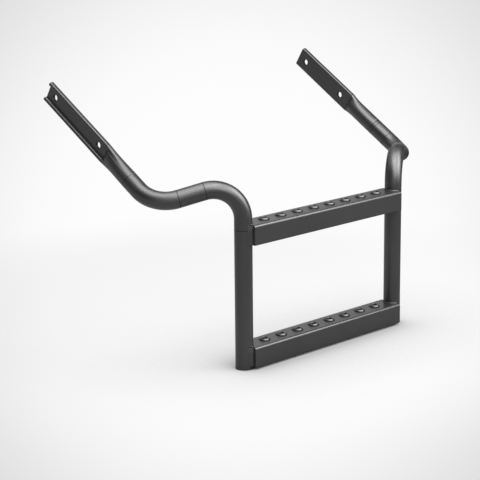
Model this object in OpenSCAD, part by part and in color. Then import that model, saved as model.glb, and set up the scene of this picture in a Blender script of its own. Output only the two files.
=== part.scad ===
// Bolt-on truck step: two bent tube rails with crushed channel ends carry two punched treads.
// Axes: +X to the right along the treads, +Y back towards the vehicle, +Z up. Millimetres.
// The origin lies on the inner flat of the left mounting pad, midway between its bolt holes.

/* [Tube] */
// Outside diameter of the rail tube
tube_od = 38.1; // [32:0.1:42]
// Wall thickness of the rail tube
tube_wall = 2.8; // [2:0.1:4]

/* [Rails] */
// Distance between the leg centre lines
leg_spacing = 477; // [420:1:520]
// Height of the first bend's tangent point above the floor
bend_height = 321.7; // [300:0.1:340]
// Straight length at the first bend's foot, down to the leg's butt seam
elbow_tail = 21.9; // [10:0.1:36]
// Centre-line radius of the first bend
upper_bend_radius = 64.8; // [58:0.1:90]
// Turn of the first bend away from vertical
upper_bend_angle = 104; // [95:0.1:110]
// How far the first bend's plane is turned back towards the vehicle
upper_bend_yaw = 33; // [20:0.1:40]
// Straight length between the two bends
link_length = 56.4; // [40:0.1:80]
// Centre-line radius of the second bend
arm_bend_radius = 73; // [62:0.1:100]
// Rise of the arm above the horizontal
arm_rise = 31.7; // [20:0.1:40]
// Length of the arm from the second bend to its cut end
arm_length = 336.2; // [320:0.1:380]

/* [Mounting pads] */
// Width of the crushed channel across its rims
pad_width = 47.7; // [42:0.1:52]
// Thickness over the rims
pad_thickness = 12.5; // [10:0.1:16]
// Width of each raised rim
rim_width = 9; // [7:0.1:10]
// Length over which the round tube is crushed to the channel
taper_length = 92; // [70:1:100]
// Diameter of the bolt holes
bolt_hole_d = 14; // [12:0.5:17]
// Distance of the end bolt hole from the cut end
end_margin = 24.6; // [20:0.1:30]
// Distance of the left arm's other bolt hole from the taper
left_root_margin = 26.8; // [20:0.1:60]
// Distance of the right arm's other bolt hole from the taper
right_root_margin = 31.6; // [20:0.1:60]
// Round tube left between bend and taper on the left arm
left_stub_length = 30; // [15:1:40]
// Round tube left between bend and taper on the right arm
right_stub_length = 56; // [40:1:65]

/* [Treads] */
// Front-to-back depth of each tread
tread_depth = 59; // [54:0.1:70]
// Height of each tread
tread_height = 42.9; // [34:0.1:46]
// Sheet thickness of the treads
tread_wall = 3; // [2:0.1:4]
// Outside radius of the tread's bent edges
tread_bend_radius = 5; // [4.5:0.1:8]
// Height of the lower tread's underside above the floor
lower_tread_z = 6.3; // [3:0.1:12]
// How far the upper tread's underside lies below the first bend's start
upper_tread_drop = 53.1; // [46:0.1:80]
// How far each tread end stops short of the leg centre line
tread_end_inset = 5; // [2:0.1:8]

/* [Traction holes] */
// Number of raised, pierced domes in each tread
hole_count = 8; // [6:1:9]
// Distance between the domes
hole_pitch = 50.8; // [44:0.1:52]
// Bore of each dome
traction_bore_d = 13; // [10:0.5:16]
// Diameter over the foot of the raised dome
dome_foot_d = 24; // [22:0.5:30]
// Height of the raised dome above the tread
dome_height = 4.4; // [3:0.1:6]

/* [Foot plugs] */
// Thickness of the plug's flange under the tube
plug_flange = 2; // [1:0.1:4]
// Length of the plug inside the tube
plug_length = 14; // [8:1:25]
// Gap all round between plug and tube
plug_gap = 0.15; // [0.1:0.05:0.4]

/* [Hidden] */
$fn = 64;

coat = [0.16, 0.16, 0.165];
plug_black = [0.05, 0.05, 0.05];

r_out = tube_od / 2;
r_in = r_out - tube_wall;
eps = 0.01;

function unit(v) = v / norm(v);
function mixv(a, b, t) = a * (1 - t) + b * t;
function ease(t) = t * t * (3 - 2 * t);
function clamp01(t) = max(0, min(1, t));

// The left rail's centre line: tangent points and directions.
leg_top = [-leg_spacing / 2, 0, bend_height];
yaw = 180 - upper_bend_yaw;
d1 = [sin(upper_bend_angle) * cos(yaw), sin(upper_bend_angle) * sin(yaw), cos(upper_bend_angle)];
side1 = [cos(yaw), sin(yaw), 0];
link_start = leg_top + upper_bend_radius
    * (sin(upper_bend_angle) * [0, 0, 1] + (1 - cos(upper_bend_angle)) * side1);
link_end = link_start + link_length * d1;
d2 = [0, cos(arm_rise), sin(arm_rise)];
arm_bend_angle = acos(d1 * d2);
side2 = unit(d2 - (d1 * d2) * d1);
arm_start = link_end + arm_bend_radius
    * (sin(arm_bend_angle) * d1 + (1 - cos(arm_bend_angle)) * side2);
// Turn of the second bend's plane, seen along the link.
link_x = [cos(upper_bend_angle) * cos(yaw), cos(upper_bend_angle) * sin(yaw), -sin(upper_bend_angle)];
link_y = [-sin(yaw), cos(yaw), 0];
arm_bend_roll = atan2(side2 * link_y, side2 * link_x);

// Origin: inner flat of the left pad, midway between its holes.
pad_mid_s = (left_stub_length + taper_length + left_root_margin + arm_length - end_margin) / 2;
origin = arm_start + pad_mid_s * d2 + [pad_thickness / 2, 0, 0];

web = 2 * tube_wall;
pad_x_web = pad_thickness / 2 - web;
rim_r = rim_width / 2;
pad_w2 = pad_width / 2;

// Puts a piece of the left rail, or its mirror image on the right, in the part's frame.
module side(right) {
    translate(-origin)
        if (right) mirror([1, 0, 0]) children();
        else children();
}

// Local frame with +Z along the link, at the end of the first bend.
module at_link() {
    translate(link_start) rotate([0, 0, yaw]) rotate([0, upper_bend_angle, 0]) children();
}

// Local frame with +Z along the arm and +X still along the treads, at the end of the second bend.
module at_arm(s) {
    translate(arm_start + s * d2) rotate([arm_rise - 90, 0, 0]) children();
}

module tube(length) {
    difference() {
        cylinder(h = length, r = r_out);
        translate([0, 0, -1]) cylinder(h = length + 2, r = r_in);
    }
}

// A solid bend of radius r that starts at the local origin along +Z and turns towards +X.
module rod_bend(radius, angle, r) {
    translate([radius, 0, 0]) rotate([90, 0, 180])
        rotate_extrude(angle = angle) translate([radius, 0]) circle(r = r);
}

module bend(radius, angle) {
    difference() {
        rod_bend(radius, angle, r_out);
        rod_bend(radius, angle, r_in);
    }
}

module leg() {
    translate([-leg_spacing / 2, 0, plug_flange]) tube(bend_height - elbow_tail - plug_flange);
}

// The first bend, with the short straight length between it and the leg's seam.
module upper_elbow() {
    translate(leg_top) rotate([0, 0, yaw]) difference() {
        union() {
            translate([0, 0, -elbow_tail]) cylinder(h = elbow_tail, r = r_out);
            rod_bend(upper_bend_radius, upper_bend_angle, r_out);
        }
        translate([0, 0, -elbow_tail - 1]) cylinder(h = elbow_tail + 1, r = r_in);
        rod_bend(upper_bend_radius, upper_bend_angle, r_in);
    }
}

module link() {
    at_link() tube(link_length);
}

module arm_elbow() {
    at_link() translate([0, 0, link_length]) rotate([0, 0, arm_bend_roll])
        bend(arm_bend_radius, arm_bend_angle);
}

module arm_stub(length) {
    at_arm(0) tube(length);
}

// Half outline of the crushed channel, from the middle of its inner flat round to its web.
seg = 6;
outline = concat(
    [[pad_thickness / 2, 0]],
    [for (i = [0:seg]) let (a = 90 * i / seg)
        [pad_thickness / 2 - rim_r + rim_r * cos(a), pad_w2 - rim_r + rim_r * sin(a)]],
    [for (i = [0:2 * seg]) let (a = 90 + 180 * i / (2 * seg))
        [-pad_thickness / 2 + rim_r + rim_r * cos(a), pad_w2 - rim_r + rim_r * sin(a)]],
    [[pad_x_web, pad_w2 - rim_width], [pad_x_web, 0]]);
function run(p, i) = i == 0 ? 0 : run(p, i - 1) + norm(p[i] - p[i - 1]);
lengths = [for (i = [0:len(outline) - 1]) run(outline, i)];
table_x = [for (i = [0:len(outline) - 1]) [lengths[i], outline[i][0]]];
table_y = [for (i = [0:len(outline) - 1]) [lengths[i], outline[i][1]]];
tip_at = (lengths[seg + 1] + lengths[seg + 2]) / 2;
end_at = lengths[len(outline) - 1];
function along(t) = t < 0.5 ? 2 * t * tip_at : tip_at + (2 * t - 1) * (end_at - tip_at);
function chan(t) = let (s = along(t)) [lookup(s, table_x), lookup(s, table_y)];
// The same outline with the recess filled.
function oval(t) = let (p = chan(t))
    [t > 0.5 && p[1] < pad_w2 - rim_r ? -pad_thickness / 2 : p[0], p[1]];

taper_n = 48;
taper_m = 12;
taper_k = 9;
recess_from = 0.55;

// Outer point number i of the crushed tube, at fraction u of the taper.
function outer(i, u) = let (
        h = i <= taper_n / 2 ? i : taper_n - i, t = 2 * h / taper_n, a = 180 * t,
        p = mixv(oval(t), chan(t), ease(clamp01((u - recess_from) / (1 - recess_from)))),
        q = mixv(r_out * [cos(a), sin(a)], p, ease(u)))
    [q[0], i <= taper_n / 2 ? q[1] : -q[1], u * taper_length];
// Inner point: it closes to a slit as the two walls meet.
function inner(i, u) = let (
        h = i <= taper_n / 2 ? i : taper_n - i, t = 2 * h / taper_n, a = 180 * t,
        o = oval(t), y = o[1] * (1 - tube_wall / pad_w2),
        full = [cos(a) * (pad_thickness / 2 - tube_wall), y],
        slit = [pad_x_web + tube_wall + 0.3 * cos(a), y * 0.8],
        p = mixv(full, slit, ease(clamp01((u - recess_from) / (1 - recess_from)))),
        q = mixv(r_in * [cos(a), sin(a)], p, ease(u)))
    [q[0], i <= taper_n / 2 ? q[1] : -q[1], u * taper_length];

// Triangles that close ring number a, laid across its thickness.
function strip(a, flip) = let (n = taper_n, f = n / 4) [
    for (i = [0:f - 1]) for (h = [0:3]) if (i < f - 1 || h % 2 == 1) let (
        p = a + (h < 2 ? i : n / 2 + i), q = p + 1,
        r = a + (h < 2 ? n / 2 - i - 1 : n - i - 1), v = a + (h < 2 ? n / 2 - i : (n - i) % n),
        m = h % 2 == 0 ? [v, r, q] : [v, q, p])
        flip ? [m[2], m[1], m[0]] : m];

module arm_taper(stub) {
    n = taper_n;
    inner_base = n * (taper_m + 1);
    points = concat(
        [for (k = [0:taper_m]) for (i = [0:n - 1]) outer(i, k / taper_m)],
        [for (k = [0:taper_k]) for (i = [0:n - 1]) inner(i, k / taper_m)]);
    faces = concat(
        [for (k = [0:taper_m - 1]) for (i = [0:n - 1]) for (h = [0, 1]) let (j = (i + 1) % n)
            h == 0 ? [k * n + i, (k + 1) * n + i, (k + 1) * n + j]
                   : [k * n + i, (k + 1) * n + j, k * n + j]],
        [for (k = [0:taper_k - 1]) for (i = [0:n - 1]) for (h = [0, 1])
            let (j = (i + 1) % n, a = inner_base + k * n, b = a + n)
            h == 0 ? [a + i, a + j, b + j] : [a + i, b + j, b + i]],
        [for (i = [0:n - 1]) for (h = [0, 1]) let (j = (i + 1) % n)
            h == 0 ? [i, j, inner_base + j] : [i, inner_base + j, inner_base + i]],
        strip(taper_m * n, false), strip(inner_base + taper_k * n, true));
    at_arm(stub) polyhedron(points = points, faces = faces, convexity = 6);
}

// Section of the crushed channel: a double web with a rounded rim along each edge.
module pad_section() {
    translate([pad_x_web, -(pad_w2 - rim_r)]) square([web, pad_width - rim_width]);
    for (s = [-1, 1]) translate([0, s * (pad_w2 - rim_r)]) {
        translate([-pad_thickness / 2 + rim_r, 0]) circle(r = rim_r);
        translate([pad_thickness / 2 - rim_r, 0]) circle(r = rim_r);
        translate([-pad_thickness / 2 + rim_r, -rim_r]) square([pad_thickness - rim_width, rim_width]);
    }
}

module mount_channel(stub, root_margin) {
    start = stub + taper_length;
    difference() {
        at_arm(start) linear_extrude(height = arm_length - start) pad_section();
        for (s = [arm_length - end_margin, start + root_margin])
            translate(arm_start + s * d2) rotate([0, 90, 0])
                cylinder(h = pad_thickness * 3, r = bolt_hole_d / 2, center = true);
    }
}

module foot_plug() {
    translate([-leg_spacing / 2, 0, 0]) difference() {
        union() {
            cylinder(h = plug_flange, r = r_out);
            cylinder(h = plug_flange + plug_length, r = r_in - plug_gap);
        }
        translate([0, 0, plug_flange + 1]) cylinder(h = plug_length, r = r_in - plug_gap - 2);
    }
}

// Section of a tread, front at -X and top at +Y here: an inverted channel with bent edges.
module tread_section() {
    w2 = tread_depth / 2;
    r = tread_bend_radius;
    difference() {
        tread_outline();
        translate([-w2 + tread_wall, -1]) square([tread_depth - 2 * tread_wall, tread_height - r + 1]);
        translate([-w2 + r, -1]) square([tread_depth - 2 * r, tread_height - tread_wall + 1]);
        for (s = [-1, 1]) translate([s * (w2 - r), tread_height - r]) circle(r = r - tread_wall);
    }
}

// Section of a tread with its inside filled, for the returns that close its ends.
module tread_outline() {
    w2 = tread_depth / 2;
    r = tread_bend_radius;
    translate([-w2, 0]) square([tread_depth, tread_height - r]);
    translate([-w2 + r, 0]) square([tread_depth - 2 * r, tread_height]);
    for (s = [-1, 1]) translate([s * (w2 - r), tread_height - r]) circle(r = r);
}

// One raised dome: sheet drawn up to a cone round the bore, with its foot let through the tread.
module dome() {
    bore = traction_bore_d / 2;
    foot = dome_foot_d / 2;
    h = dome_height;
    under = foot - tread_wall * 0.6;
    rotate_extrude() polygon([[under, -tread_wall], [foot, -tread_wall], [foot, 0.2], [foot - 0.7, 0.7],
        [bore + 3, h - 0.9], [bore + 2.2, h - 0.2], [bore + 1.4, h], [bore + 0.5, h - 0.3],
        [bore, h - 1.1], [bore, h - tread_wall * 0.8], [under - 1, -tread_wall * 0.3]]);
}

module tread(z) {
    reach = leg_spacing / 2 - tread_end_inset;
    translate(-origin) difference() {
        union() {
            difference() {
                translate([-reach, 0, z]) rotate([90, 0, 90]) linear_extrude(height = 2 * reach)
                    tread_section();
                for (i = [0:hole_count - 1]) at_dome(i, z)
                    cylinder(h = 3 * tread_wall, r = dome_foot_d / 2 - 0.3, center = true);
            }
            for (s = [0, 1]) translate([s == 0 ? -reach : reach - tread_wall, 0, z])
                rotate([90, 0, 90]) linear_extrude(height = tread_wall) tread_outline();
            for (i = [0:hole_count - 1]) at_dome(i, z) dome();
        }
        for (s = [-1, 1]) translate([s * leg_spacing / 2, 0, z - 1]) cylinder(h = tread_height + 2, r = r_out);
    }
}

// Place of dome number i on the top of the tread whose underside is at z.
module at_dome(i, z) {
    translate([(i - (hole_count - 1) / 2) * hole_pitch, 0, z + tread_height]) children();
}

module left_leg() color(coat) side(false) leg();
module left_upper_elbow() color(coat) side(false) upper_elbow();
module left_link() color(coat) side(false) link();
module left_arm_elbow() color(coat) side(false) arm_elbow();
module left_arm_stub() color(coat) side(false) arm_stub(left_stub_length);
module left_arm_taper() color(coat) side(false) arm_taper(left_stub_length);
module left_mount_channel() color(coat) side(false) mount_channel(left_stub_length, left_root_margin);
module left_foot_plug() color(plug_black) side(false) foot_plug();
module right_leg() color(coat) side(true) leg();
module right_upper_elbow() color(coat) side(true) upper_elbow();
module right_link() color(coat) side(true) link();
module right_arm_elbow() color(coat) side(true) arm_elbow();
module right_arm_stub() color(coat) side(true) arm_stub(right_stub_length);
module right_arm_taper() color(coat) side(true) arm_taper(right_stub_length);
module right_mount_channel() color(coat) side(true) mount_channel(right_stub_length, right_root_margin);
module right_foot_plug() color(plug_black) side(true) foot_plug();
module upper_tread() color(coat) tread(bend_height - upper_tread_drop);
module lower_tread() color(coat) tread(lower_tread_z);

left_leg();
left_upper_elbow();
left_link();
left_arm_elbow();
left_arm_stub();
left_arm_taper();
left_mount_channel();
left_foot_plug();
right_leg();
right_upper_elbow();
right_link();
right_arm_elbow();
right_arm_stub();
right_arm_taper();
right_mount_channel();
right_foot_plug();
upper_tread();
lower_tread();
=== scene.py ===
"""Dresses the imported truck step: powder coat, crushed arm ends, butt seams, weld beads, studio."""

import math

import bpy
import numpy as np
from bpy.props import FloatProperty, FloatVectorProperty, IntProperty, PointerProperty
from mathutils import Matrix, Vector


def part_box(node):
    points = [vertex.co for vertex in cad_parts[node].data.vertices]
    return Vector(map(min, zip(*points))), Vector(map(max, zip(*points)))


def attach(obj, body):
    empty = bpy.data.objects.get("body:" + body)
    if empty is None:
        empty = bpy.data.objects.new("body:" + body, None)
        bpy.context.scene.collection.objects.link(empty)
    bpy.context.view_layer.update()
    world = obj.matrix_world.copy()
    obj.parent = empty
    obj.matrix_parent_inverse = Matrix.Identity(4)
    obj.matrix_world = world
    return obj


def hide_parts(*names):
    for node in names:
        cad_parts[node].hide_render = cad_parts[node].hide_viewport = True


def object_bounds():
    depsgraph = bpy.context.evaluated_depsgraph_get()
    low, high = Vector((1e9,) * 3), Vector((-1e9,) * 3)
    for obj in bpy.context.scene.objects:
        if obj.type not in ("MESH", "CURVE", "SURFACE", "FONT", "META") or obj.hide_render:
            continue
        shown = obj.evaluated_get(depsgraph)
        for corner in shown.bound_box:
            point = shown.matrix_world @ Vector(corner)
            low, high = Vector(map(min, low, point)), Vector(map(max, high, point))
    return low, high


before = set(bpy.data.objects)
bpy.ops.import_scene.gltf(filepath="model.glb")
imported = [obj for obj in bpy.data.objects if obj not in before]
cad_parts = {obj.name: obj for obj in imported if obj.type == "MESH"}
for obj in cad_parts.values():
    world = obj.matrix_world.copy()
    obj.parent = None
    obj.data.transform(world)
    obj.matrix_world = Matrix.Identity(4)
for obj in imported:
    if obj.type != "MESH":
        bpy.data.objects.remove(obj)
CAD_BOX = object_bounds()

bl_info = {
    "name": "Truck Step Dresser",
    "version": (1, 0, 0),
    "blender": (4, 5, 0),
    "location": "View3D > Sidebar > Truck Step",
    "description": "Finishes a packed bolt-on truck step and sets it in a plain studio",
    "category": "Object",
}

SIDES = ("left", "right")
TREADS = ("upper_tread", "lower_tread")
FLOOR_Z = min(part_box(s + "_foot_plug")[0].z for s in SIDES)

# The coat: noise scales of its slow drift of shade and its fine grain, how far its roughness drifts
# each way, and the strength and distance of each bump
DRIFT_SCALE = 9.0
GRAIN_SCALE = 900.0
ROUGHNESS_DRIFT = 0.02
PEEL_BUMP = (0.02, 0.0002)
GRAIN_BUMP = (0.01, 0.00005)
# Distances off a dome's foot: the crease's ring of painted shade fades in over the first two and
# out over the last two
CREASE = (-0.0018, -0.0006, 0.0008, 0.0030)
# Distances off a bolt hole's radius over which the painted shade on the wall's edge fades out
BORE_EDGE = (0.0001, 0.0007)

# The right arm's seams: the first lies past the arm's start, the two others before the crush
RIGHT_FIRST_SEAM = 0.004
RIGHT_LAST_SEAMS = (0.012, 0.005)
# A seam's oval section has its middle under the tube's surface and reaches out from there
SEAM_SINK = 0.0001
SEAM_REACH = 0.0002

# An upright fillet in the leg's section, from the leg's centre: its end on the leg, and its end at
# the flange, the latter's depth measured from the flange's outer face
FILLET_ON_LEG = (-0.0055, 0.0182)
FILLET_AT_FLANGE = (0.0052, -0.0057)
# Its gaps to the flange's lower and upper end, and the lengths over which it tapers there
FILLET_GAPS = (0.0006, 0.0012)
FILLET_TAPERS = (0.004, 0.014)

# Softboxes: turn right of the view and height above the horizon in degrees, width and height in
# metres. Each one faces the step's middle from the same distance.
SOFTBOXES = {
    "key": (121, 47, 3.8, 2.6),
    "overhead": (180, 82, 1.9, 1.9),
    "strip": (100, 26, 1.5, 2.0),
}
SOFTBOX_DISTANCE = 2.4
# Soft panels of the room: turn right of the view, height above the horizon and reach in degrees,
# brightness
ROOM_PANELS = {
    "above the camera": (180, 58, 32, 2.4),
    "behind the camera": (168, 0, 56, 0.95),
    "upper left": (-60, 60, 45, 1.4),
    "left": (-85, 12, 42, 0.2),
    "top back": (10, 66, 26, 0.25),
    "back": (-8, 8, 34, 0.9),
    "far right": (40, 35, 30, 0.1),
}
# The room's brightness where no panel reaches
ROOM_DARKEST = 0.02

# The floor's half width and points a side, and how far ahead of the step its shadows are centred
FLOOR_HALF = 30
FLOOR_POINTS = 61
SHADOW_AHEAD = 0.15
# Degrees off the view's axis at which the paper has its edge shade and its plain colour
EDGE_ANGLE = 12.8
PLAIN_ANGLE = 4.0
# How far to each side the reflected paper's brightness goes on changing, and the far patch that is
# dimmer still: its place ahead and aside, and the distances over which it fades out
REFLECTED_SIDE = 0.9
BEYOND_PLACE = (2.0, 1.3)
BEYOND_FADE = (0.9, 1.9)


class RailSizes(bpy.types.PropertyGroup):
    """Sizes of the bent tube rails, the same as the solids'."""

    tube_radius: FloatProperty(
        name="Tube radius", description="Outside radius of the rail tube",
        default=0.01905, unit="LENGTH", precision=5)
    leg_spacing: FloatProperty(
        name="Leg spacing", description="Distance between the leg centre lines",
        default=0.477, unit="LENGTH")
    seam_height: FloatProperty(
        name="Seam height", description="Height of the leg's butt seam above the floor",
        default=0.2998, unit="LENGTH", precision=4)
    bend_height: FloatProperty(
        name="Bend height", description="Height of the first bend's tangent point",
        default=0.3217, unit="LENGTH", precision=4)
    upper_bend_radius: FloatProperty(
        name="Upper bend radius", description="Centre-line radius of the first bend",
        default=0.0648, unit="LENGTH", precision=4)
    upper_bend_angle: FloatProperty(
        name="Upper bend angle", description="Turn of the first bend",
        default=math.radians(104.0), subtype="ANGLE")
    upper_bend_yaw: FloatProperty(
        name="Upper bend yaw", description="How far the first bend is turned back",
        default=math.radians(33.0), subtype="ANGLE")
    link_length: FloatProperty(
        name="Link length", description="Straight length between the bends",
        default=0.0564, unit="LENGTH", precision=4)
    arm_bend_radius: FloatProperty(
        name="Arm bend radius", description="Centre-line radius of the second bend",
        default=0.073, unit="LENGTH")
    arm_rise: FloatProperty(
        name="Arm rise", description="Rise of the arm above the horizontal",
        default=math.radians(31.7), subtype="ANGLE")
    left_stub: FloatProperty(
        name="Left stub", description="Round tube before the left crush",
        default=0.030, unit="LENGTH")
    right_stub: FloatProperty(
        name="Right stub", description="Round tube before the right crush",
        default=0.056, unit="LENGTH")
    rear_hole: FloatProperty(
        name="Rear hole", description="Distance of the rear bolt hole from the arm's start",
        default=0.3116, unit="LENGTH", precision=4)
    left_pitch: FloatProperty(
        name="Left pitch", description="Distance between the left bolt holes",
        default=0.1628, unit="LENGTH", precision=4)
    right_pitch: FloatProperty(
        name="Right pitch", description="Distance between the right bolt holes",
        default=0.132, unit="LENGTH")
    bolt_hole: FloatProperty(
        name="Bolt hole", description="Radius of the bolt holes",
        default=0.007, unit="LENGTH")


class CrushSizes(bpy.types.PropertyGroup):
    """Sizes of the transition from round tube to crushed channel."""

    length: FloatProperty(
        name="Length", description="Length over which the tube is crushed",
        default=0.092, unit="LENGTH")
    width: FloatProperty(
        name="Width", description="Width over the channel's rims",
        default=0.0477, unit="LENGTH", precision=4)
    thickness: FloatProperty(
        name="Thickness", description="Thickness over the rims",
        default=0.0125, unit="LENGTH", precision=4)
    rim: FloatProperty(
        name="Rim", description="Width of each rim",
        default=0.009, unit="LENGTH", precision=4)
    web: FloatProperty(
        name="Web", description="Thickness of the doubled wall",
        default=0.0056, unit="LENGTH", precision=4)
    recess: FloatProperty(
        name="Recess", description="Share of the length after which the recess sinks in",
        default=0.84, min=0.1, max=0.95)
    left_power: FloatProperty(
        name="Left power", description="How late the left tube is crushed", default=1.9)
    right_power: FloatProperty(
        name="Right power", description="How late the right tube is crushed", default=5.0)
    around: IntProperty(
        name="Around", description="Points round the section", default=144)
    stations: IntProperty(
        name="Stations", description="Sections along the crush", default=56)


class CoatLook(bpy.types.PropertyGroup):
    """Colour and texture of the powder coat, of the seams' painted shade and of the plugs."""

    coat: FloatVectorProperty(
        name="Coat", description="Colour of the powder coat",
        subtype="COLOR", size=3, default=(0.011, 0.011, 0.0111), min=0, max=1)
    coat_light: FloatVectorProperty(
        name="Coat, light", description="Lightest drift of the powder coat",
        subtype="COLOR", size=3, default=(0.014, 0.014, 0.0141), min=0, max=1)
    roughness: FloatProperty(
        name="Roughness", description="Mean roughness of the coat",
        default=0.33, min=0, max=1, subtype="FACTOR")
    peel: FloatProperty(
        name="Peel", description="Size of the coat's orange peel",
        default=0.0016, unit="LENGTH", precision=4)
    # Seam: the colour of the painted shade in the butt seams, the creases round the domes and the
    # bolt holes' walls.
    seam: FloatVectorProperty(
        name="Seam", description="Colour in the butt seams, the creases and the bores",
        subtype="COLOR", size=3, default=(0.004, 0.004, 0.004), min=0, max=1)
    plug: FloatVectorProperty(
        name="Plug", description="Colour of the foot plugs",
        subtype="COLOR", size=3, default=(0.014, 0.014, 0.014), min=0, max=1)


class WeldSizes(bpy.types.PropertyGroup):
    """Sizes of the fillet beads, the butt seams and the treads' domes."""

    leg: FloatProperty(
        name="Leg", description="Leg of the fillet bead",
        default=0.0022, unit="LENGTH", precision=4)
    ripple: FloatProperty(
        name="Ripple", description="Length of one ripple of the bead",
        default=0.003, unit="LENGTH", precision=4)
    dome_pitch: FloatProperty(
        name="Dome pitch", description="Distance between the treads' domes",
        default=0.0508, unit="LENGTH", precision=4)
    dome_foot: FloatProperty(
        name="Dome foot", description="Radius of a dome's foot",
        default=0.012, unit="LENGTH", precision=4)
    dome_height: FloatProperty(
        name="Dome height", description="Height of a dome over the tread's top",
        default=0.0044, unit="LENGTH", precision=4)
    seam_width: FloatProperty(
        name="Seam width", description="Width of a butt seam's line",
        default=0.0014, unit="LENGTH", precision=4)


class StudioLook(bpy.types.PropertyGroup):
    """Camera, lamps, room and floor."""

    lens: FloatProperty(
        name="Lens", description="Focal length in millimetres", default=123.75)
    place: FloatVectorProperty(
        name="Camera", description="Camera position",
        subtype="XYZ", size=3, precision=5, default=(-2.18134, -2.70076, 0.56879))
    yaw: FloatProperty(
        name="Yaw", description="Turn of the view from +X towards +Y",
        default=math.radians(45.46291), subtype="ANGLE")
    pitch: FloatProperty(
        name="Pitch", description="Tilt of the view below the horizon",
        default=math.radians(13.531353), subtype="ANGLE")
    roll: FloatProperty(
        name="Roll", description="Roll of the camera",
        default=math.radians(0.564652), subtype="ANGLE")
    key: FloatProperty(
        name="Key", description="Brightness of the large softbox right of the camera", default=3.0)
    overhead: FloatProperty(
        name="Overhead", description="Brightness of the overhead softbox", default=2.8)
    strip: FloatProperty(
        name="Strip", description="Brightness of the tall softbox at the right", default=2.8)
    room: FloatProperty(
        name="Room", description="Strength of the room's soft panels", default=1.0)
    paper: FloatVectorProperty(
        name="Paper", description="Colour of the floor and backdrop as the camera sees them",
        subtype="COLOR", size=3, default=(0.985, 0.985, 0.985), min=0, max=1)
    paper_near: FloatProperty(
        name="Paper near", description="Where the softboxes' shadows start to fade out",
        default=0.55, unit="LENGTH")
    paper_far: FloatProperty(
        name="Paper far", description="Where the softboxes' shadows have gone",
        default=1.1, unit="LENGTH")
    edge: FloatProperty(
        name="Edge", description="Shade of the backdrop at the picture's corners", default=0.74)
    shade_reach: FloatProperty(
        name="Shade reach", description="How far off the step still shades the paper",
        default=0.4, unit="LENGTH")
    shade_depth: FloatProperty(
        name="Shade depth", description="How much deeper the paper's shade is made", default=0.42)
    cast_share: FloatProperty(
        name="Cast share", description="Share of the softboxes' own shadows in the paper",
        default=0.32, min=0, max=1)
    reflected_left: FloatProperty(
        name="Reflected, left", default=0.62,
        description="Brightness of the left paper in the coat's reflections")
    reflected_right: FloatProperty(
        name="Reflected, right", default=0.4,
        description="Brightness of the right paper in the coat's reflections")
    beyond: FloatProperty(
        name="Beyond", default=0.15,
        description="Share of that brightness left far back at the right, off the paper")
    floor: FloatVectorProperty(
        name="Floor", description="Colour of the paper where the step stands",
        subtype="COLOR", size=3, default=(0.43, 0.43, 0.43), min=0, max=1)


def unit(v):
    """A vector, or rows of vectors, divided by their lengths."""
    return v / np.linalg.norm(v, axis=-1, keepdims=True)


def rail_marks(p):
    """Tangent points and directions of the left rail, with the leg at the floor, in metres.

    Each bend ends at start + R (sin A d + (1 - cos A) s), with s square to d on the inside of the
    bend."""
    yaw = math.pi - p.upper_bend_yaw
    a = p.upper_bend_angle
    up = np.array([0.0, 0.0, 1.0])
    out = np.array([math.cos(yaw), math.sin(yaw), 0.0])
    d1 = math.sin(a) * out + math.cos(a) * up
    leg = np.array([-p.leg_spacing / 2, 0.0, p.bend_height])
    link = leg + p.upper_bend_radius * (math.sin(a) * up + (1 - math.cos(a)) * out)
    bend = link + p.link_length * d1
    d2 = np.array([0.0, math.cos(p.arm_rise), math.sin(p.arm_rise)])
    b = math.acos(float(d1 @ d2))
    s2 = unit(d2 - (d1 @ d2) * d1)
    arm = bend + p.arm_bend_radius * (math.sin(b) * d1 + (1 - math.cos(b)) * s2)
    return {"leg": (leg, up), "link": (link, d1), "bend": (bend, d1), "arm": (arm, d2)}


def home():
    """Where rail_marks' origin, on the floor between the legs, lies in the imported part's frame.

    It is read from the left leg's box and the floor's height."""
    lo, hi = (np.array(c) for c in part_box("left_leg"))
    centre = (lo + hi) / 2
    p = bpy.context.scene.step_rail
    return np.array([centre[0] + p.leg_spacing / 2, centre[1], FLOOR_Z])


def place(points, side):
    """Mirrors left-hand points for the right side and moves them into the part's frame."""
    flip = np.array([-1.0, 1.0, 1.0]) if side == "right" else np.ones(3)
    return points * flip + home()


def grid_faces(rows, cols, close_rows=False, close_cols=True):
    """Quads of a rows x cols grid of points, wrapped where closed.

    Each one is (i, j), (i, j+1), (i+1, j+1), (i+1, j)."""
    i = np.arange(rows if close_rows else rows - 1)[:, None]
    j = np.arange(cols if close_cols else cols - 1)[None, :]
    i2, j2 = (i + 1) % rows, (j + 1) % cols
    quads = [i * cols + j, i * cols + j2, i2 * cols + j2, i2 * cols + j]
    return np.stack(quads, -1).reshape(-1, 4)


def caps(rows, cols):
    """Fans of triangles that close the first and the last ring of such a grid."""
    i = np.arange(1, cols - 1)
    fan = np.stack([np.zeros_like(i), i, i + 1], 1)
    return np.concatenate([fan[:, ::-1], fan + (rows - 1) * cols])


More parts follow.
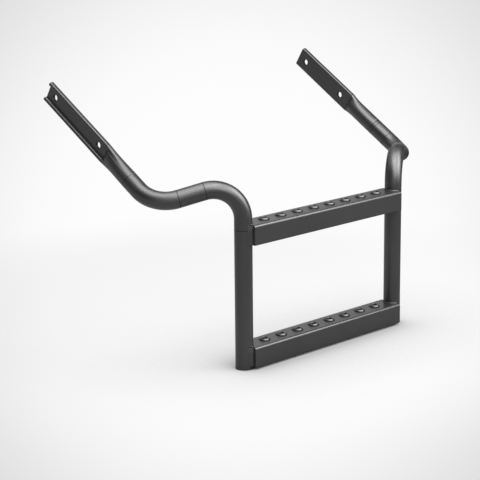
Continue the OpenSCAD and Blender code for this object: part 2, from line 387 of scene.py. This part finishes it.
def make_mesh(name, points, quads, tris=None, flip=False):
    """Puts whole arrays of points and faces into a new smooth mesh object at the origin."""
    tris = np.zeros((0, 3), int) if tris is None else tris
    if flip:
        quads, tris = quads[:, ::-1], tris[:, ::-1]
    mesh = bpy.data.meshes.new(name)
    mesh.vertices.add(len(points))
    mesh.vertices.foreach_set("co", np.ascontiguousarray(points, np.float32).ravel())
    loops = np.concatenate([quads.ravel(), tris.ravel()])
    starts = np.concatenate([np.arange(len(quads)) * 4, len(quads) * 4 + np.arange(len(tris)) * 3])
    mesh.loops.add(len(loops))
    mesh.loops.foreach_set("vertex_index", loops.astype(np.int32))
    mesh.polygons.add(len(starts))
    mesh.polygons.foreach_set("loop_start", starts.astype(np.int32))
    mesh.polygons.foreach_set("use_smooth", np.full(len(starts), True))
    mesh.update(calc_edges=True)
    mesh.validate()
    obj = bpy.data.objects.new(name, mesh)
    bpy.context.scene.collection.objects.link(obj)
    return obj


def join_grids(grids):
    """Stacks grids of (points, faces) or (points, quads, triangles) into one such set of arrays."""
    points, *faces = zip(*grids)
    shift = np.cumsum([0] + [len(p) for p in points[:-1]])
    return [np.concatenate(points)] + [
        np.concatenate([face + first for face, first in zip(kind, shift)]) for kind in faces]


class Graph:
    """A short way to write a node tree: each call adds a node and returns it, or its output."""

    def __init__(self, tree):
        self.tree = tree

    def add(self, kind):
        return self.tree.nodes.new(kind)

    def link(self, a, b):
        self.tree.links.new(a, b)

    def feed(self, value, socket):
        """Links another node's output to a socket, or sets a plain number on it."""
        if isinstance(value, bpy.types.NodeSocket):
            self.link(value, socket)
        else:
            socket.default_value = value

    def math(self, kind, a, b=0.0):
        node = self.add("ShaderNodeMath")
        node.operation = kind
        for value, socket in zip((a, b), node.inputs):
            self.feed(value, socket)
        return node.outputs[0]

    def dot(self, a, b):
        node = self.add("ShaderNodeVectorMath")
        node.operation = "DOT_PRODUCT"
        self.link(a, node.inputs[0])
        node.inputs[1].default_value = tuple(b)
        return node.outputs["Value"]

    def spread(self, value, low, high, to_low, to_high):
        """Smooth step of a value between low and high, from to_low to to_high."""
        node = self.add("ShaderNodeMapRange")
        node.interpolation_type = "SMOOTHSTEP"
        ends = {"From Min": low, "From Max": high, "To Min": to_low, "To Max": to_high}
        for key, number in ends.items():
            node.inputs[key].default_value = number
        self.link(value, node.inputs["Value"])
        return node.outputs["Result"]

    def mix(self, fac, a, b):
        """Mixes two colours, each a node's output or three numbers."""
        node = self.add("ShaderNodeMix")
        node.data_type = "RGBA"
        self.link(fac, node.inputs["Factor"])
        for key, value in (("A", a), ("B", b)):
            socket = next(i for i in node.inputs if i.name == key and i.type == "RGBA")
            self.feed(value if isinstance(value, bpy.types.NodeSocket) else (*value, 1), socket)
        return next(o for o in node.outputs if o.type == "RGBA")


class Shader(Graph):
    """A new material's node tree, laid out on Object coordinates."""

    def __init__(self, name):
        self.mat = bpy.data.materials.new(name)
        self.mat.use_nodes = True
        super().__init__(self.mat.node_tree)
        self.bsdf = self.tree.nodes["Principled BSDF"]
        self.coord = self.add("ShaderNodeTexCoord").outputs["Object"]

    def noise(self, scale, detail=2.0, rough=0.5):
        node = self.add("ShaderNodeTexNoise")
        node.inputs["Scale"].default_value = scale
        node.inputs["Detail"].default_value = detail
        node.inputs["Roughness"].default_value = rough
        self.link(self.coord, node.inputs["Vector"])
        return node.outputs["Fac"]

    def reach(self, centre):
        """Distance of each point from a centre."""
        node = self.add("ShaderNodeVectorMath")
        node.operation = "DISTANCE"
        self.link(self.coord, node.inputs[0])
        node.inputs[1].default_value = tuple(centre)
        return node.outputs["Value"]

    def toward(self, start):
        """Unit vector from a start to each point."""
        away = self.add("ShaderNodeVectorMath")
        away.operation = "SUBTRACT"
        self.link(self.coord, away.inputs[0])
        away.inputs[1].default_value = tuple(start)
        node = self.add("ShaderNodeVectorMath")
        node.operation = "NORMALIZE"
        self.link(away.outputs[0], node.inputs[0])
        return node.outputs[0]

    def off(self, axis, place):
        """Distance from a place along one axis."""
        split = self.add("ShaderNodeSeparateXYZ")
        self.link(self.coord, split.inputs[0])
        return self.math("SUBTRACT", split.outputs[axis], float(place))

    def length(self, a, b):
        """Square root of a a + b b."""
        squares = self.math("MULTIPLY", a, a), self.math("MULTIPLY", b, b)
        return self.math("SQRT", self.math("ADD", *squares))

    def bores(self, centres, radius):
        """1 in the walls and on the edges of two bores along X, where shade is painted, 0 elsewhere.
        """
        far = [self.length(self.off("Y", c[1]), self.off("Z", c[2])) for c in centres]
        low, high = (radius + edge for edge in BORE_EDGE)
        return self.spread(self.math("MINIMUM", *far), low, high, 1.0, 0.0)

    def crease(self, centre, p):
        """1 in the crease round each dome's foot, where shade is painted, 0 elsewhere."""
        x = self.math("DIVIDE", self.off("X", centre[0]), p.dome_pitch)
        x = self.math("SUBTRACT", self.math("FRACT", x), 0.5)
        x = self.math("MULTIPLY", x, p.dome_pitch)
        far = self.length(x, self.off("Y", centre[1]))
        marks = [p.dome_foot + edge for edge in CREASE]
        inner = self.spread(far, *marks[:2], 0.0, 1.0)
        return self.math("MULTIPLY", inner, self.spread(far, *marks[2:], 1.0, 0.0))

    def bump(self, height, strength, distance, after=None):
        node = self.add("ShaderNodeBump")
        node.inputs["Strength"].default_value = strength
        node.inputs["Distance"].default_value = distance
        self.link(height, node.inputs["Height"])
        if after is not None:
            self.link(after, node.inputs["Normal"])
        return node.outputs["Normal"]


def bolt_holes(side):
    """Centres of an arm's two bolt holes: arm + s d, on the arm's centre line."""
    p = bpy.context.scene.step_rail
    arm, d2 = rail_marks(p)["arm"]
    s = np.array([[p.rear_hole], [p.rear_hole - getattr(p, side + "_pitch")]])
    return place(arm + s * d2, side)


def powder_coat(node=""):
    """Satin black powder coat: orange peel over a fine grain, and a slow drift of shade.

    Shade is painted in, darker and with little reflection, where light is trapped. On a tread that
    is the crease round each dome's foot, a ring in the distance from the nearest dome's axis, which
    repeats along X at the domes' pitch. On a mounting channel it is the walls of the bolt holes."""
    tread, channel = node.endswith("tread"), node.endswith("mount_channel")
    name = "satin_coat_" + node if tread or channel else "satin_coat"
    if name in bpy.data.materials:
        return bpy.data.materials[name]
    scene = bpy.context.scene
    look = scene.step_coat
    s = Shader(name)
    drift = s.noise(DRIFT_SCALE, 3.0)
    grain = s.noise(GRAIN_SCALE, 1.0)
    peel = s.noise(0.75 / look.peel, 2.0, 0.55)
    shade = s.mix(s.spread(drift, 0.35, 0.65, 0.0, 1.0), look.coat, look.coat_light)
    if tread or channel:
        lo, hi = (np.array(c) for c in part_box(node))
        # Painted shade, in the crease round the domes on a tread and on the bolt holes' walls on a
        # channel: the coat turns to the seam colour there and loses most of its reflection.
        painted_shade_mask = (s.crease((lo + hi) / 2, scene.step_weld) if tread else
                s.bores(bolt_holes(node.split("_")[0]), scene.step_rail.bolt_hole))
        shade = s.mix(painted_shade_mask, shade, look.seam)
        s.link(s.spread(painted_shade_mask, 0.0, 1.0, 1.0, 0.1), s.bsdf.inputs["Specular IOR Level"])
    else:
        s.bsdf.inputs["Specular IOR Level"].default_value = 1.0
    s.link(shade, s.bsdf.inputs["Base Color"])
    rough = look.roughness - ROUGHNESS_DRIFT, look.roughness + ROUGHNESS_DRIFT
    s.link(s.spread(peel, 0.3, 0.7, *rough), s.bsdf.inputs["Roughness"])
    normal = s.bump(peel, *PEEL_BUMP)
    s.link(s.bump(grain, *GRAIN_BUMP, normal), s.bsdf.inputs["Normal"])
    s.bsdf.inputs["Metallic"].default_value = 0.0
    s.bsdf.inputs["IOR"].default_value = 1.5
    return s.mat


def painted_seam_shade():
    """The line where two tube pieces meet under the coat, slightly dusty: painted shade of its
    groove, dark and with almost no reflection.
    """
    look = bpy.context.scene.step_coat
    s = Shader("seam_painted_shade")
    dust = s.spread(s.noise(400.0, 2.0), 0.4, 0.7, 0.0, 1.0)
    dusty = tuple(2.2 * c for c in look.seam)
    s.link(s.mix(dust, look.seam, dusty), s.bsdf.inputs["Base Color"])
    s.bsdf.inputs["Roughness"].default_value = 0.9
    s.bsdf.inputs["Specular IOR Level"].default_value = 0.1
    s.link(s.bump(s.noise(GRAIN_SCALE), 0.2, 0.0001), s.bsdf.inputs["Normal"])
    return s.mat


def plug_plastic():
    """Matte moulded plastic of the foot plugs, with a fine spark texture."""
    look = bpy.context.scene.step_coat
    s = Shader("plug_plastic")
    fine = s.noise(1100.0, 2.0)
    cloud = s.spread(s.noise(30.0), 0.35, 0.65, 0.0, 1.0)
    pale = tuple(1.6 * c for c in look.plug)
    s.link(s.mix(cloud, look.plug, pale), s.bsdf.inputs["Base Color"])
    s.link(s.spread(fine, 0.3, 0.7, 0.55, 0.72), s.bsdf.inputs["Roughness"])
    s.link(s.bump(fine, 0.25, 0.0001), s.bsdf.inputs["Normal"])
    return s.mat


def ease(t):
    """Smooth step: 3 t^2 - 2 t^3 between 0 and 1."""
    t = np.clip(t, 0.0, 1.0)
    return t * t * (3 - 2 * t)


def channel_half(c, count):
    """Half of the channel's outline at `count` values of t from 0, mid inner flat, to 1, mid web.

    Straight lines and arcs of radius rim/2 are laid end to end and read off by arc length; t = 0.5
    is the edge. The third array is the same outline with the recess filled."""
    r, w, h = c.rim / 2, c.width / 2, c.thickness / 2
    quarter = 13
    a = np.linspace(0, math.pi / 2, quarter)
    b = np.linspace(math.pi / 2, 1.5 * math.pi, 2 * quarter - 1)
    line = np.concatenate([
        [[h, 0.0]],
        np.stack([h - r + r * np.cos(a), w - r + r * np.sin(a)], 1),
        np.stack([-h + r + r * np.cos(b), w - r + r * np.sin(b)], 1),
        [[h - c.web, w - c.rim], [h - c.web, 0.0]]])
    s = np.concatenate([[0.0], np.cumsum(np.linalg.norm(np.diff(line, axis=0), axis=1))])
    tip = (s[quarter] + s[quarter + 1]) / 2
    t = np.linspace(0, 1, count)
    at = np.where(t < 0.5, 2 * t * tip, tip + (2 * t - 1) * (s[-1] - tip))
    chan = np.stack([np.interp(at, s, line[:, 0]), np.interp(at, s, line[:, 1])], 1)
    full = chan.copy()
    full[(t > 0.5) & (chan[:, 1] < w - r), 0] = -h
    return t, chan, full


def crush_surface(c, radius, power):
    """Sections of the crushed tube at u from 0 to 1: (1 - w) circle + w outline.

    w is u to a power, and the recess sinks into the outline near the end."""
    t, chan, full = channel_half(c, c.around // 2 + 1)
    circle = radius * np.stack([np.cos(math.pi * t), np.sin(math.pi * t)], 1)
    u = np.linspace(0, 1, c.stations)[:, None, None]
    outline = full + (chan - full) * ease((u - c.recess) / (1 - c.recess))
    half = circle + (outline - circle) * u ** power
    other = half[:, -2:0:-1] * np.array([1.0, -1.0])
    flat = np.concatenate([half, other], 1)
    along = np.broadcast_to(u * c.length, flat.shape[:2] + (1,))
    return np.concatenate([flat, along], 2)


def end_strips(n, base, flip):
    """Closes a ring of n points by quads laid across its thickness, with a triangle at each tip.

    The quads are (i, i+1, n/2-i-1, n/2-i) and their mirror."""
    i = np.arange(1, n // 4)
    near = np.stack([i, i + 1, n // 2 - i - 1, n // 2 - i], 1)
    far = np.stack([n // 2 + i, n // 2 + i + 1, n - i - 1, n - i], 1)
    quads = np.concatenate([near, far])
    quads = quads[(quads[:, 1] != quads[:, 2])]
    tips = np.array([[q - 1, q, q + 1] for q in (n // 4, 3 * n // 4)])
    first = np.array([[0, 1, n // 2 - 1, n // 2], [n // 2, n // 2 + 1, n - 1, 0]])
    quads = np.concatenate([first, quads]) + base
    tips = tips + base
    return (quads[:, ::-1], tips[:, ::-1]) if flip else (quads, tips)


class STEP_OT_coat(bpy.types.Operator):
    """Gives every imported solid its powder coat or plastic."""

    bl_idname = "truck_step.coat"
    bl_label = "Coat the solids"

    def execute(self, context):
        plastic = plug_plastic()
        for name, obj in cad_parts.items():
            obj.data.materials.clear()
            obj.data.materials.append(plastic if name.endswith("foot_plug") else powder_coat(name))
        return {"FINISHED"}


class STEP_OT_crush(bpy.types.Operator):
    """Lofts the crushed transitions from round tube to channel in place of the coarse solids."""

    bl_idname = "truck_step.crush"
    bl_label = "Loft the crushed transitions"

    def execute(self, context):
        scene = context.scene
        rail, c = scene.step_rail, scene.step_crush
        arm, d2 = rail_marks(rail)["arm"]
        across = np.array([1.0, 0.0, 0.0])
        down = np.cross(d2, across)
        for side in SIDES:
            surface = crush_surface(c, rail.tube_radius, getattr(c, side + "_power"))
            rows, cols = surface.shape[:2]
            x, y, along = np.split(surface.reshape(-1, 3), 3, axis=1)
            stub = getattr(rail, side + "_stub")
            points = arm + d2 * (stub + along) + across * x + down * y
            ends = [end_strips(cols, 0, True), end_strips(cols, (rows - 1) * cols, False)]
            quads = np.concatenate([grid_faces(rows, cols)] + [e[0] for e in ends])
            tris = np.concatenate([e[1] for e in ends])
            obj = make_mesh(side + "_crushed_transition", place(points, side), quads, tris,
                            flip=side == "right")
            obj.data.materials.append(powder_coat())
            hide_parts(side + "_arm_taper")
            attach(obj, "root")
        return {"FINISHED"}


class STEP_OT_seams(bpy.types.Operator):
    """Draws the fine butt seams round the tubes as shallow rings."""

    bl_idname = "truck_step.seams"
    bl_label = "Draw the butt seams"

    def execute(self, context):
        scene = context.scene
        rail, weld = scene.step_rail, scene.step_weld
        marks = rail_marks(rail)
        leg, up = marks["leg"]
        arm, d2 = marks["arm"]
        # The rings carry the seams' painted shade.
        dark = painted_seam_shade()
        for side in SIDES:
            stub = getattr(rail, side + "_stub")
            places = [stub]
            if side == "right":
                places = [RIGHT_FIRST_SEAM] + [stub - before for before in RIGHT_LAST_SEAMS]
            seams = [(leg + up * (rail.seam_height - rail.bend_height), up),
                     marks["link"], marks["bend"]] + [(arm + d2 * at, d2) for at in places]
            points, quads = join_grids([
                self.ring(centre, d, rail.tube_radius, weld.seam_width) for centre, d in seams])
            obj = make_mesh(side + "_butt_seams", place(points, side), quads, flip=side == "left")
            obj.data.materials.append(dark)
            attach(obj, "root")
        return {"FINISHED"}

    @staticmethod
    def ring(centre, d, radius, width):
        """Torus round the tube, a flat oval in section.

        It is centre + (R + b cos q) (x cos p + y sin p) + a sin q d."""
        n, m = 96, 10
        x = unit(np.cross(d, [0.31, 0.87, 0.38]))
        y = np.cross(d, x)
        p = np.linspace(0, 2 * math.pi, n, endpoint=False)[:, None, None]
        q = np.linspace(0, 2 * math.pi, m, endpoint=False)[None, :, None]
        far = radius - SEAM_SINK + SEAM_REACH * np.cos(q)
        points = centre + far * (x * np.cos(p) + y * np.sin(p)) + width / 2 * np.sin(q) * d
        return points.reshape(-1, 3), grid_faces(n, m, True, True)


class STEP_OT_welds(bpy.types.Operator):
    """Lays the fillet beads between legs and treads: round the tops, and up the flanges' ends."""

    bl_idname = "truck_step.welds"
    bl_label = "Lay the fillet beads"

    def execute(self, context):
        scene = context.scene
        rail, weld = scene.step_rail, scene.step_weld
        for tread in TREADS:
            lo, hi = (np.array(c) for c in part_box(tread))
            depth = (hi[1] - lo[1]) / 2
            low, top = lo[2] - FLOOR_Z, hi[2] - weld.dome_height - FLOOR_Z
            uprights = [self.upright(rail, weld, low, top, depth, way) for way in (-1, 1)]
            beads = {"bead": [self.bead(rail, weld, top)], "upright_beads": uprights}
            for side in SIDES:
                for name, grids in beads.items():
                    points, quads, tris = join_grids(grids)
                    obj = make_mesh(f"{side}_{tread}_{name}", place(points, side), quads, tris,
                                    flip=side == "left")
                    obj.data.materials.append(powder_coat())
                    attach(obj, "root")
        return {"FINISHED"}

    @staticmethod
    def upright(rail, weld, low, top, depth, way):
        """Fillet up the leg to a flange's end, at the front for way -1 and at the back for way 1.

        It is centre + a cos q along + b (1 + ripple) sin q out, over the flange's height."""
        n, m = 110, 16
        size, wave, least, sink = 0.55, 0.06, 0.03, 0.0003
        start = np.array(FILLET_ON_LEG)
        end = np.array(FILLET_AT_FLANGE) + [0.0, depth]
        along, a = unit(end - start), np.linalg.norm(end - start) / 2
        out = np.array([-along[1], along[0]])
        z = np.linspace(low + FILLET_GAPS[0], top - FILLET_GAPS[1], n)[:, None]
        q = np.linspace(0, 2 * math.pi, m, endpoint=False)[None, :]
        inside = np.minimum((z - low) / FILLET_TAPERS[0], (top - z) / FILLET_TAPERS[1])
        taper = np.maximum(ease(inside), least)
        b = weld.leg * (size + wave * np.abs(np.sin(math.pi * z / weld.ripple))) * taper
        middle = (start + end) / 2 - sink * out
        flat = middle + (a * np.cos(q))[..., None] * along + (b * np.sin(q))[..., None] * out
        x = flat[..., 0] - rail.leg_spacing / 2
        points = np.stack([x, way * flat[..., 1], np.broadcast_to(z, x.shape)], -1)
        points = points if way < 0 else points[:, ::-1]
        return points.reshape(-1, 3), grid_faces(n, m), caps(n, m)

    @staticmethod
    def bead(rail, weld, top):
        """Half ring on the tread's top round the leg, a round of radius a (1 + ripple).

        Its middle lies in the corner between leg and tread, a little off both."""
        n, m = 150, 12
        size, wave, fade, least, lift = 0.62, 0.05, 0.12, 0.02, 0.0002
        reach = math.radians(80)
        p = np.linspace(-reach, reach, n)[:, None, None]
        q = np.linspace(0, 2 * math.pi, m, endpoint=False)[None, :, None]
        run = p * rail.tube_radius
        a = weld.leg * (size + wave * np.abs(np.sin(math.pi * run / weld.ripple)))
        a = a * np.sqrt(np.clip((reach - np.abs(p)) / fade, least, 1))
        far = rail.tube_radius + lift + a * np.cos(q)
        z = top + lift + a * np.sin(q)
        x = -rail.leg_spacing / 2 + far * np.cos(p)
        y = far * np.sin(p)
        points = np.stack(np.broadcast_arrays(x[..., 0], y[..., 0], z[..., 0]), -1).reshape(-1, 3)
        return points, grid_faces(n, m), caps(n, m)


class STEP_OT_studio(bpy.types.Operator):
    """Sets the camera, the three softboxes, the room's light and the paper floor."""

    bl_idname = "truck_step.studio"
    bl_label = "Set the studio"

    def execute(self, context):
        s = context.scene.step_studio
        look, right, down = self.camera_axes(s)
        self.camera(s, look, right, down)
        lo, hi = (np.array(c) for c in CAD_BOX)
        middle = (lo + hi) / 2
        ahead = unit(look * [1, 1, 0])
        aside = np.array([ahead[1], -ahead[0], 0.0])
        up = np.array([0.0, 0.0, 1.0])

        def way(turn, height):
            """Unit vector at degrees right of the view and above the horizon."""
            t, h = math.radians(turn), math.radians(height)
            return math.cos(h) * (math.cos(t) * ahead + math.sin(t) * aside) + math.sin(h) * up

        for name, (turn, height, wide, tall) in SOFTBOXES.items():
            at = middle + SOFTBOX_DISTANCE * way(turn, height)
            self.lamp(name + "_softbox", at, middle, wide, tall, getattr(s, name))
        self.room(s, way)
        self.floor(s, middle, look, ahead, aside)
        context.scene.view_settings.view_transform = "Standard"
        return {"FINISHED"}

    @staticmethod
    def camera_axes(s):
        """The unit view, right and down vectors for a yaw, a pitch and a roll."""
        look = np.array([math.cos(s.yaw) * math.cos(s.pitch), math.sin(s.yaw) * math.cos(s.pitch),
                         -math.sin(s.pitch)])
        level = np.array([math.sin(s.yaw), -math.cos(s.yaw), 0.0])
        steep = np.cross(look, level)
        right = math.cos(s.roll) * level + math.sin(s.roll) * steep
        down = -math.sin(s.roll) * level + math.cos(s.roll) * steep
        return look, right, down

    @staticmethod
    def camera(s, look, right, down):
        data = bpy.data.cameras.new("camera")
        cam = bpy.data.objects.new("camera", data)
        bpy.context.scene.collection.objects.link(cam)
        bpy.context.scene.camera = cam
        data.sensor_width = 36.0
        data.lens = s.lens
        data.clip_end = 100.0
        turn = np.eye(4)
        turn[:3, 0], turn[:3, 1], turn[:3, 2], turn[:3, 3] = right, -down, -look, s.place
        cam.matrix_world = Matrix(turn.tolist())

    @staticmethod
    def lamp(name, at, aim, wide, tall, level):
        """A softbox with a given brightness; its power is four times that by its area."""
        data = bpy.data.lights.new(name, "AREA")
        data.shape = "RECTANGLE"
        data.size, data.size_y = wide, tall
        data.energy = 4 * level * wide * tall
        obj = bpy.data.objects.new(name, data)
        bpy.context.scene.collection.objects.link(obj)
        obj.location = at.tolist()
        obj.rotation_mode = "QUATERNION"
        obj.rotation_quaternion = Vector((aim - at).tolist()).to_track_quat("-Z", "Y")

    @staticmethod
    def room(s, way):
        """The room's light by direction: soft round panels, each a smooth step of the angle off it.

        The camera, and light that passes through, see the paper's edge shade in its place."""
        world = bpy.data.worlds.new("room")
        bpy.context.scene.world = world
        world.use_nodes = True
        g = Graph(world.node_tree)
        g.tree.nodes.clear()
        out = g.add("ShaderNodeTexCoord").outputs["Generated"]
        total = ROOM_DARKEST
        for turn, height, reach, level in ROOM_PANELS.values():
            rim = math.cos(math.radians(reach))
            panel = g.spread(g.dot(out, way(turn, height)), rim, 1.0, 0.0, level)
            total = g.math("ADD", panel, total)
        even = g.add("ShaderNodeBackground")
        g.link(g.math("MULTIPLY", total, s.room), even.inputs["Strength"])
        white = g.add("ShaderNodeBackground")
        white.inputs["Color"].default_value = (*(s.edge * c for c in s.paper), 1)
        mix = g.add("ShaderNodeMixShader")
        path = g.add("ShaderNodeLightPath").outputs
        seen = g.math("MAXIMUM", path["Is Camera Ray"], path["Is Transmission Ray"])
        g.link(seen, mix.inputs["Fac"])
        g.link(even.outputs[0], mix.inputs[1])
        g.link(white.outputs[0], mix.inputs[2])
        g.link(mix.outputs[0], g.add("ShaderNodeOutputWorld").inputs["Surface"])

    @staticmethod
    def floor(s, middle, look, ahead, aside):
        """Pale paper, shaded by how much of the sky the step hides and by the softboxes' shadows.

        The camera sees it plain, apart from a share of those shadows near the step. Reflections
        show the same paper, dimmer towards the right and dimmest far back at the right."""
        span = np.linspace(-FLOOR_HALF, FLOOR_HALF, FLOOR_POINTS)
        x, y = np.meshgrid(span, span, indexing="ij")
        points = np.stack([x + middle[0], y + middle[1], np.full_like(x, FLOOR_Z)], -1)
        quads = grid_faces(FLOOR_POINTS, FLOOR_POINTS, False, False)
        obj = make_mesh("studio_floor", points.reshape(-1, 3), quads, flip=True)
        m = Shader("studio_paper")
        tooth = m.spread(m.noise(60.0, 3.0), 0.3, 0.7, 0.0, 1.0)
        toothed = tuple(0.99 * c for c in s.floor)
        m.link(m.mix(tooth, s.floor, toothed), m.bsdf.inputs["Base Color"])
        m.bsdf.inputs["Roughness"].default_value = 0.9
        m.bsdf.inputs["Specular IOR Level"].default_value = 0.1
        centre = np.array([middle[0], middle[1], FLOOR_Z])
        off_axis = m.dot(m.toward(s.place), look)
        rim, plain_from = (math.cos(math.radians(angle)) for angle in (EDGE_ANGLE, PLAIN_ANGLE))
        edge = tuple(s.edge * c for c in s.paper)
        tone = m.mix(m.spread(off_axis, rim, plain_from, 0.0, 1.0), edge, s.paper)
        open_sky = m.add("ShaderNodeAmbientOcclusion")
        open_sky.samples = 16
        open_sky.inputs["Distance"].default_value = s.shade_reach
        m.link(tone, open_sky.inputs["Color"])
        plain = m.add("ShaderNodeEmission")
        m.link(open_sky.outputs["Color"], plain.inputs["Color"])
        path = m.add("ShaderNodeLightPath").outputs
        mirrored = path["Is Glossy Ray"]
        sideways = m.math("SUBTRACT", m.dot(m.coord, aside), float(middle @ aside))
        bright = m.spread(sideways, -REFLECTED_SIDE, REFLECTED_SIDE,
                          s.reflected_left, s.reflected_right)
        patch = m.reach(centre + BEYOND_PLACE[0] * ahead + BEYOND_PLACE[1] * aside)
        bright = m.math("MULTIPLY", bright, m.spread(patch, *BEYOND_FADE, s.beyond, 1.0))
        dim = m.math("MULTIPLY", mirrored, m.math("SUBTRACT", 1.0, bright))
        shaded = m.math("POWER", open_sky.outputs["AO"], s.shade_depth)
        strength = m.math("MULTIPLY", shaded, m.math("SUBTRACT", 1.0, dim))
        m.link(strength, plain.inputs["Strength"])
        away = m.reach(centre + SHADOW_AHEAD * ahead)
        near = m.math("SUBTRACT", 1.0, m.spread(away, s.paper_near, s.paper_far, 0.0, 1.0))
        lit = m.math("MULTIPLY", near, s.cast_share)
        direct = m.math("MULTIPLY", path["Is Camera Ray"], m.math("SUBTRACT", 1.0, lit))
        bounced = m.math("MAXIMUM", mirrored, path["Is Transmission Ray"])
        shown = m.add("ShaderNodeMixShader")
        m.link(m.math("ADD", direct, bounced), shown.inputs["Fac"])
        m.link(m.bsdf.outputs[0], shown.inputs[1])
        m.link(plain.outputs[0], shown.inputs[2])
        m.link(shown.outputs[0], m.tree.nodes["Material Output"].inputs["Surface"])
        obj.data.materials.append(m.mat)


class STEP_PT_panel(bpy.types.Panel):
    """Lists the steps of the dressing."""

    bl_idname = "STEP_PT_panel"
    bl_label = "Truck Step"
    bl_space_type = "VIEW_3D"
    bl_region_type = "UI"
    bl_category = "Truck Step"

    def draw(self, context):
        for op in OPERATORS:
            self.layout.operator(op.bl_idname)
        for group, _ in GROUPS:
            box = self.layout.box()
            data = getattr(context.scene, group)
            for key in data.bl_rna.properties.keys():
                if key not in ("rna_type", "name"):
                    box.prop(data, key)


OPERATORS = (STEP_OT_coat, STEP_OT_crush, STEP_OT_seams, STEP_OT_welds, STEP_OT_studio)
GROUPS = (("step_rail", RailSizes), ("step_crush", CrushSizes), ("step_weld", WeldSizes),
          ("step_coat", CoatLook), ("step_studio", StudioLook))


def register():
    for name, group in GROUPS:
        bpy.utils.register_class(group)
        setattr(bpy.types.Scene, name, PointerProperty(type=group))
    for cls in OPERATORS + (STEP_PT_panel,):
        bpy.utils.register_class(cls)


def unregister():
    for cls in reversed(OPERATORS + (STEP_PT_panel,)):
        bpy.utils.unregister_class(cls)
    for name, group in reversed(GROUPS):
        delattr(bpy.types.Scene, name)
        bpy.utils.unregister_class(group)


def main():
    register()
    bpy.ops.truck_step.coat()
    bpy.ops.truck_step.crush()
    bpy.ops.truck_step.seams()
    bpy.ops.truck_step.welds()
    bpy.ops.truck_step.studio()
    bpy.context.view_layer.update()


if __name__ == "__main__":
    main()
